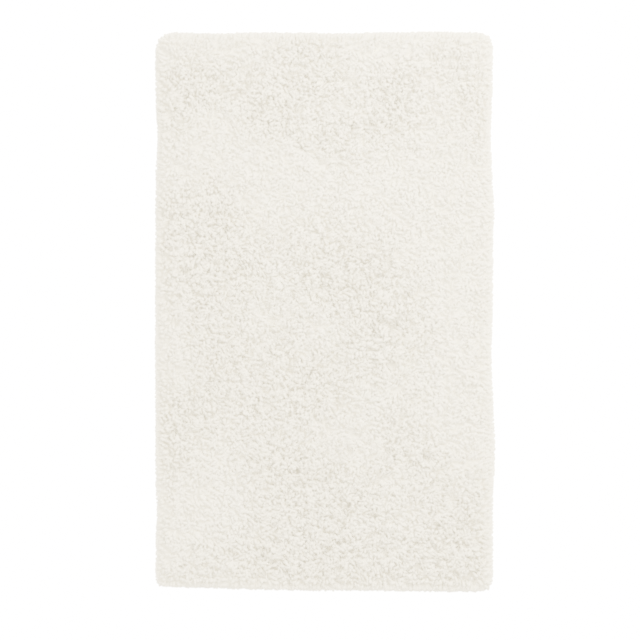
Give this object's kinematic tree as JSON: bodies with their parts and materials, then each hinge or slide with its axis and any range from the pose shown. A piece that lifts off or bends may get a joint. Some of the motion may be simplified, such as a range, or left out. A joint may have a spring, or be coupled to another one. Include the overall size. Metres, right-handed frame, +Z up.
{
  "type": "bath mat",
  "caption": "Rectangular shaggy cut-pile cotton bath mat with soft rounded corners, latex back and taped hem, lying flat with the pile up.",
  "frame": {"origin": "middle of the underside, on the floor that the mat lies on", "axes": "+Z up through the pile, +Y along the mat's length, away from the edge that carries the care label; +X across its width"},
  "size_m": [0.612, 1.012, 0.024],
  "materials": {
    "pile_cotton": "matte",
    "canvas": "matte",
    "latex": "matte",
    "twill_tape": "matte",
    "sewing_thread": "satin",
    "label_satin": "satin"
  },
  "bodies": {
    "root": {"pile_rows_01": "pile_cotton", "pile_rows_02": "pile_cotton", "pile_rows_03": "pile_cotton", "pile_rows_04": "pile_cotton", "pile_rows_05": "pile_cotton", "pile_rows_06": "pile_cotton", "pile_rows_07": "pile_cotton", "pile_rows_08": "pile_cotton", "pile_rows_09": "pile_cotton", "pile_rows_10": "pile_cotton", "pile_rows_11": "pile_cotton", "pile_rows_12": "pile_cotton", "pile_rows_13": "pile_cotton", "back_stitches": "pile_cotton", "base_cloth": "canvas", "latex_coat": "latex", "edge_overlock_thread": "sewing_thread", "hem_tape_left": "twill_tape", "hem_tape_right": "twill_tape", "hem_tape_near": "twill_tape", "hem_tape_far": "twill_tape", "outer_needle_thread": "sewing_thread", "outer_bobbin_thread": "sewing_thread", "inner_needle_thread": "sewing_thread", "inner_bobbin_thread": "sewing_thread", "care_label": "label_satin"}
  },
  "joints": []
}
